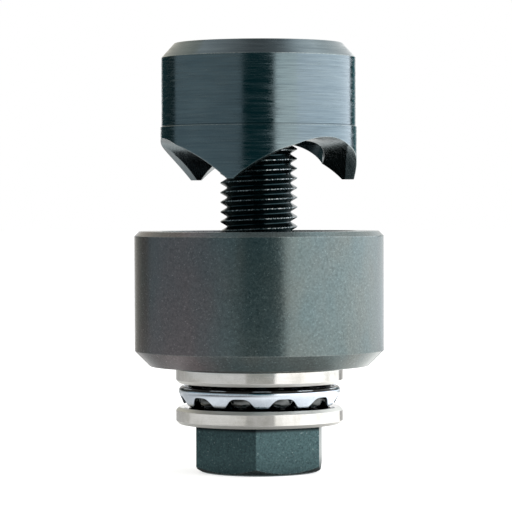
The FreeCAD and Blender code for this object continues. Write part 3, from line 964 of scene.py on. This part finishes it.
# Ring: what the die reflects stands lowest, over it what the punch reflects, and on top what the
# chamfers reflect
RING = 0.30
RING_DIE = 0.042
RING_PUNCH = 0.10
RING_TOP = 0.42
LOW = [(RING, 0.0, 1.0), (RING, RING_DIE, 1.0)]
MIDDLE = [(RING, RING_DIE, 1.0), (RING, RING_PUNCH, 1.0)]
HIGH = [(RING, RING_PUNCH, 1.0), (RING, RING_TOP, 1.0)]
WINDOW_COLOUR = (0.97, 1.0, 1.06)
WALL_COLOUR = (0.80, 1.0, 1.08)
SHADE_COLOUR = (0.3, 0.9, 1.0)
ring_card("right_softbox_low", (1.03, 1.0, 0.98), LOW, (22, 91), (1.95, 2.05, 2.2, 2.35))
ring_card("right_rear_softbox_low", (0.96, 1.0, 1.03), LOW, (91, 160), (2.35, 2.3, 1.5, 1.1))
ring_card("left_softbox_low", WALL_COLOUR, LOW, (-119, -14), (0.40, 0.44, 0.44, 0.42, 0.40, 0.36, 0.08))
ring_card("left_rear_low", (1.0, 1.0, 0.9), LOW, (-160, -119), (0.6, 0.35, 0.2, 0.2), lights=False)
ring_card("right_near_softbox", (0.97, 1.0, 0.97), MIDDLE, (18, 45), (1.88, 2.05))
ring_card("right_softbox", WINDOW_COLOUR, MIDDLE, (45, 136), (2.05, 2.25, 2.45, 2.65))
ring_card("left_softbox", WALL_COLOUR, MIDDLE, (-114, -18), (0.40, 0.44, 0.42, 0.40))
ring_card("right_rear_shade", SHADE_COLOUR, MIDDLE, (136, 160), (0.04, 0.3), lights=False)
ring_card("left_rear_shade", SHADE_COLOUR, MIDDLE, (-160, -114), (0.06, 0.05), lights=False)
ring_card("left_upper_wall", (1.0, 0.96, 0.84), HIGH, (-180, 0), (0.75, 0.75, 0.48, 0.33, 0.4))
ring_card("right_upper_wall", (0.98, 1.0, 1.0), HIGH, (0, 180), (0.4, 1.5, 1.8, 1.4, 1.1))

# Around the camera: a dark shade, and a paler flag under it for the washers
SHADE_RING = 0.14
FLAG_TOP = 0.0095
SHADE_MIDDLE = 0.0415
SHADE_TOP = 0.25
FLAG = [(SHADE_RING, 0.0, 1.0), (SHADE_RING, FLAG_TOP, 1.0)]
LOW_SHADE = [(SHADE_RING, FLAG_TOP, 1.0), (SHADE_RING, SHADE_MIDDLE, 1.0)]
HIGH_SHADE = [(SHADE_RING, SHADE_MIDDLE, 1.0), (SHADE_RING, SHADE_TOP, 1.0)]
ring_card("camera_shade_low", (0.0, 0.85, 1.1), LOW_SHADE, (-14, 22), (0.12, 0.12), lights=False)
ring_card("camera_shade", (0.1, 0.9, 1.0), HIGH_SHADE, (-18, 18), (0.07, 0.07), lights=False)
ring_card("camera_flag", (1.0, 1.0, 0.96), FLAG, (-17, 19), (0.6, 0.6), lights=False)

# Table: what the undersides, the head and, farther out, the bearing reflect
TABLE_LIFT = 0.05 * MM
table_azimuth = np.radians(np.linspace(-180, 180, 241))
table_directions = np.radians([-180, -150, -125, -100, -67, -19, -16, 18, 21, 53, 137, 142, 180])
table_rings = [
    # The inner rings are dimmed: a painted shadow that the die and the bearing cast on the table
    (0.0092, 0.05, [1, 1, 1, 1, 1, 1, 1, 1, 1, 1, 1, 1, 1]),
    (0.017, 0.4, [1, 1, 1, 1, 1.1, 0.95, 0.95, 1.1, 1.3, 1.2, 1.6, 1.6, 1.3]),
    (0.0205, 0.5, [1, 1, 1, 1, 1.1, 0.95, 0.95, 1.1, 1.3, 1.2, 1.6, 1.6, 1.3]),
    (0.0235, 1.0, [1, 1, 1, 1, 0.95, 1.0, 1.0, 1.3, 1.4, 1.3, 1.5, 1.5, 1.3]),
    (0.030, 1.0, [1.3, 1.2, 0.6, 0.6, 0.85, 0.85, 0.85, 1.2, 1.3, 1.25, 1.6, 1.7, 1.4]),
    (0.045, 1.0, [1.2, 0.8, 0.5, 0.45, 0.10, 0.12, 0.14, 0.8, 1.0, 1.45, 1.7, 1.8, 1.5]),
    (0.086, 1.0, [1.2, 0.8, 0.6, 0.6, 0.10, 0.12, 0.14, 0.8, 1.0, 1.45, 1.7, 1.8, 1.5]),
    (0.096, 1.0, [0.7, 0.5, 0.6, 0.85, 0.95, 0.95, 0.6, 0.6, 1.5, 1.75, 1.75, 0.5, 1.0]),
    (RING, 1.0, [0.7, 0.4, 0.6, 0.68, 0.76, 0.82, 0.58, 0.58, 1.22, 1.42, 1.42, 0.3, 1.0]),
]
table_distance = np.array([ring[0] for ring in table_rings])[:, None]
table_strength = np.array([
    level * np.interp(table_azimuth, table_directions, strengths)
    for _, level, strengths in table_rings
])
table_points = np.stack(np.broadcast_arrays(
    table_distance * np.sin(table_azimuth), -table_distance * np.cos(table_azimuth), TABLE_LIFT
), axis=-1)
card("table", (1.0, 1.0, 0.98), table_points, table_strength, False)

# Overhead: dimmer over the middle and brighter towards the right
overhead_x = np.array([-0.3, -0.1, -0.03, 0.03, 0.1, 0.17, 0.3])
overhead_strength = np.array([1.0, 0.5, 0.28, 0.28, 0.5, 1.6, 1.9])
overhead_y = np.array([[-0.3], [0.3]])
overhead_points = np.stack(np.broadcast_arrays(overhead_x, overhead_y, RING_TOP), axis=-1)
card("overhead_softbox", (1.0, 1.0, 1.0), overhead_points, np.tile(overhead_strength, 2), True)


def floor_material():
    """Pale matt floor that also shines for rays that look at it, so that it reads as white and
    keeps its shadow."""
    material, tree, shader = new_material("pale_floor")
    shader.inputs["Base Color"].default_value = (0.86, 0.86, 0.86, 1)
    shader.inputs["Roughness"].default_value = 0.9
    shader.inputs["Specular IOR Level"].default_value = 0.0
    shader.inputs["Emission Color"].default_value = (1, 1, 1, 1)
    tree.links.new(looking_rays(tree, 0.7), shader.inputs["Emission Strength"])
    return material


def looking_rays(tree, value):
    """The value for camera, glossy and transmission rays, and zero for the others."""
    path = tree.nodes.new("ShaderNodeLightPath")
    seen = path.outputs["Is Camera Ray"]
    for kind in ("Is Glossy Ray", "Is Transmission Ray"):
        either = tree.nodes.new("ShaderNodeMath")
        either.operation = "MAXIMUM"
        tree.links.new(seen, either.inputs[0])
        tree.links.new(path.outputs[kind], either.inputs[1])
        seen = either.outputs["Value"]
    scaled = tree.nodes.new("ShaderNodeMath")
    scaled.operation = "MULTIPLY"
    scaled.inputs[1].default_value = value
    tree.links.new(seen, scaled.inputs[0])
    return scaled.outputs["Value"]


floor_reach = 4.0
floor_points = np.array([
    [(-floor_reach, -floor_reach, 0), (floor_reach, -floor_reach, 0)],
    [(-floor_reach, floor_reach, 0), (floor_reach, floor_reach, 0)],
])
stage_mesh("floor", floor_points, floor_material())

world = bpy.data.worlds.new("white_studio")
bpy.context.scene.world = world
world.use_nodes = True
background = world.node_tree.nodes["Background"]
background.inputs["Color"].default_value = (1, 1, 1, 1)
FILL = 0.5
lift = world.node_tree.nodes.new("ShaderNodeMath")
lift.operation = "ADD"
lift.inputs[1].default_value = FILL
world.node_tree.links.new(looking_rays(world.node_tree, 1 - FILL), lift.inputs[0])
world.node_tree.links.new(lift.outputs["Value"], background.inputs["Strength"])

# Camera: a little over the die's face, looking along +Y, pitched down by a degree and rolled by a
# fifth of one
CAMERA_DISTANCE = 421 * MM
CAMERA_HEIGHT = 41.3 * MM
CAMERA_OFFSET = -0.47 * MM
CAMERA_ROLL = math.radians(-0.2)
CAMERA_PITCH = math.radians(-1.06)
camera_data = bpy.data.cameras.new("camera")
camera_data.sensor_width = 36.0
camera_data.lens = 190.2
camera_data.clip_start = 0.01
camera_data.clip_end = 20.0
camera = bpy.data.objects.new("camera", camera_data)
bpy.context.scene.collection.objects.link(camera)
camera.matrix_world = (
    Matrix.Translation((CAMERA_OFFSET, -CAMERA_DISTANCE, CAMERA_HEIGHT))
    @ Matrix.Rotation(math.pi / 2 + CAMERA_PITCH, 4, "X")
    @ Matrix.Rotation(CAMERA_ROLL, 4, "Z")
)
bpy.context.scene.camera = camera
bpy.context.scene.view_settings.view_transform = "Standard"
